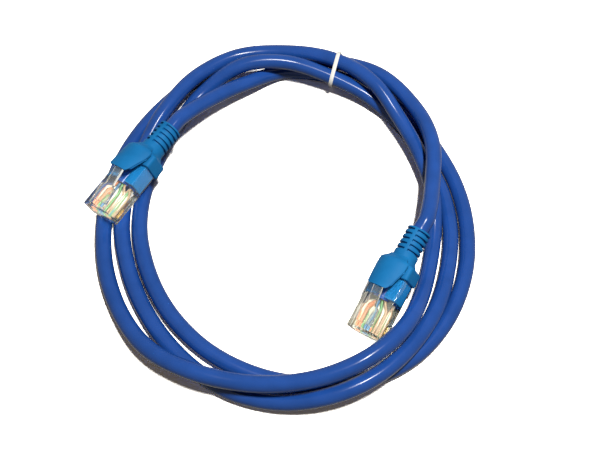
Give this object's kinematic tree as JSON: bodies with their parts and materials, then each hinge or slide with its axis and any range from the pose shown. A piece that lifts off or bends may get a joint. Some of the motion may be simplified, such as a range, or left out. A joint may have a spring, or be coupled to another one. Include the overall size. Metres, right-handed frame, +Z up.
{
  "type": "ethernet patch cable",
  "caption": "Blue round patch cable in a loose coil with a twist tie, a clear modular plug with a press latch and a hooded, ribbed strain-relief boot at each end.",
  "frame": {"origin": "middle of the whole cable's outline seen from above, on the plane it lies on", "axes": "+Z up from the table; +X and +Y in the plane of the coil"},
  "size_m": [0.1333, 0.1388, 0.0218],
  "materials": {
    "cord_blue": "smooth vinyl jacket with a soft gloss",
    "boot_blue": "moulded soft vinyl, satin",
    "clear_plug": "clear polycarbonate",
    "gold": "gold-plated contact",
    "wire_blue": "conductor insulation",
    "wire_orange": "conductor insulation",
    "wire_green": "conductor insulation",
    "wire_brown": "conductor insulation",
    "wire_white": "white conductor insulation with a coloured stripe",
    "tie_white": "paper-faced wire tie"
  },
  "bodies": {
    "cable": {"jacket": "cord_blue", "pair_blue": "wire_blue", "pair_orange": "wire_orange", "pair_green": "wire_green", "pair_brown": "wire_brown", "housing_a": "clear_plug", "housing_b": "clear_plug", "boot_a": "boot_blue", "boot_b": "boot_blue", "contact_a1": "gold", "contact_a2": "gold", "contact_a3": "gold", "contact_a4": "gold", "contact_a5": "gold", "contact_a6": "gold", "contact_a7": "gold", "contact_a8": "gold", "contact_b1": "gold", "contact_b2": "gold", "contact_b3": "gold", "contact_b4": "gold", "contact_b5": "gold", "contact_b6": "gold", "contact_b7": "gold", "contact_b8": "gold", "conductor_a1": "wire_white", "conductor_a2": "wire_orange", "conductor_a3": "wire_white", "conductor_a4": "wire_blue", "conductor_a5": "wire_white", "conductor_a6": "wire_green", "conductor_a7": "wire_white", "conductor_a8": "wire_brown", "conductor_b1": "wire_white", "conductor_b2": "wire_orange", "conductor_b3": "wire_white", "conductor_b4": "wire_blue", "conductor_b5": "wire_white", "conductor_b6": "wire_green", "conductor_b7": "wire_white", "conductor_b8": "wire_brown", "tie": "tie_white"},
    "hood_a": {"hood_a": "boot_blue"},
    "latch_a": {"latch_a": "clear_plug"},
    "hood_b": {"hood_b": "boot_blue"},
    "latch_b": {"latch_b": "clear_plug"}
  },
  "joints": [
    {"name": "hood_a_press", "type": "hinge", "parent": "cable", "child": "hood_a", "pos_m": [-0.04979, 0.01324, 0.0169], "axis": [0.8144, -0.5195, 0.2587], "range_deg": [0, 12], "stiffness_Nm_per_rad": 0.02, "springref_deg": -2.86},
    {"name": "latch_a_flex", "type": "hinge", "parent": "cable", "child": "latch_a", "pos_m": [-0.06109, -0.00502, 0.01581], "axis": [-0.8144, 0.5195, -0.2587], "range_deg": [0, 8.6], "stiffness_Nm_per_rad": 0.02, "springref_deg": -2.86},
    {"name": "hood_b_press", "type": "hinge", "parent": "cable", "child": "hood_b", "pos_m": [0.03414, -0.02522, 0.0146], "axis": [0.711, -0.502, 0.4924], "range_deg": [0, 12], "stiffness_Nm_per_rad": 0.02, "springref_deg": -2.86},
    {"name": "latch_b_flex", "type": "hinge", "parent": "cable", "child": "latch_b", "pos_m": [0.02389, -0.04369, 0.01056], "axis": [-0.711, 0.502, -0.4924], "range_deg": [0, 8.6], "stiffness_Nm_per_rad": 0.02, "springref_deg": -2.86}
  ],
  "couplings": [
    {"joint": "latch_a_flex", "follows": "hood_a_press", "ratio": 0.7},
    {"joint": "latch_b_flex", "follows": "hood_b_press", "ratio": 0.7}
  ]
}
